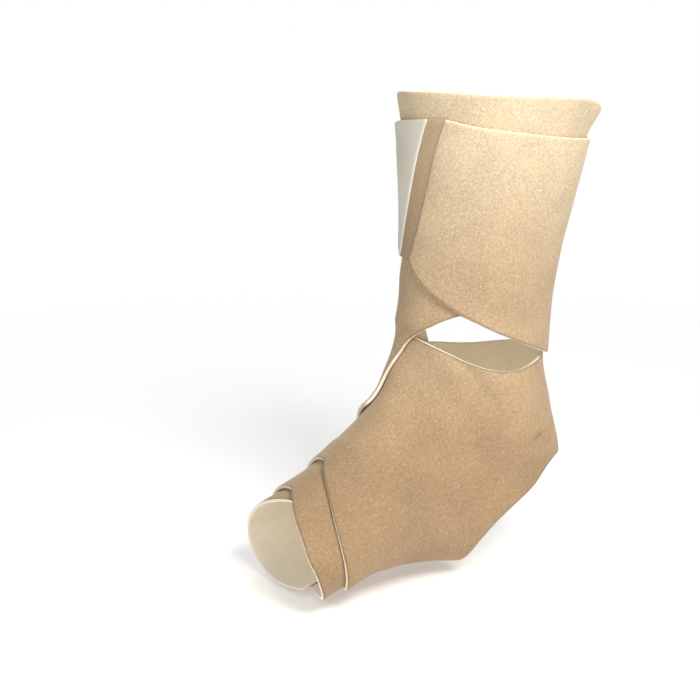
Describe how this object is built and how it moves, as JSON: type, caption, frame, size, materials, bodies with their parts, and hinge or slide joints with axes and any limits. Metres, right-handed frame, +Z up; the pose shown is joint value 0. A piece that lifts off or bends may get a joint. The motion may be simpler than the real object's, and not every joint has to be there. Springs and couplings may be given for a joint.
{
  "type": "ankle brace",
  "caption": "Figure-of-eight ankle wrap in thin plush-faced foam cloth, shaped as worn on a right foot, with an open heel, an inner-ankle window and a taped closure tab at the shin.",
  "frame": {"origin": "centre of the ankle on the leg's axis, 78 mm above the sole", "axes": "+Z up the leg, -X towards the toes, -Y towards the inner side of the foot"},
  "size_m": [0.1758, 0.1029, 0.2509],
  "materials": {
    "plush_laminate": "beige loop plush on cream foam",
    "ribbed_tape": "tan fine-ribbed tape",
    "smooth_tab": "smooth grey-white satin strip"
  },
  "bodies": {
    "root": {"start_turn": "plush_laminate", "foot_turn": "plush_laminate", "ankle_panel": "plush_laminate", "inner_cuff": "plush_laminate", "outer_cuff": "plush_laminate", "end_tape": "ribbed_tape", "closure_tab": "smooth_tab"}
  },
  "joints": []
}
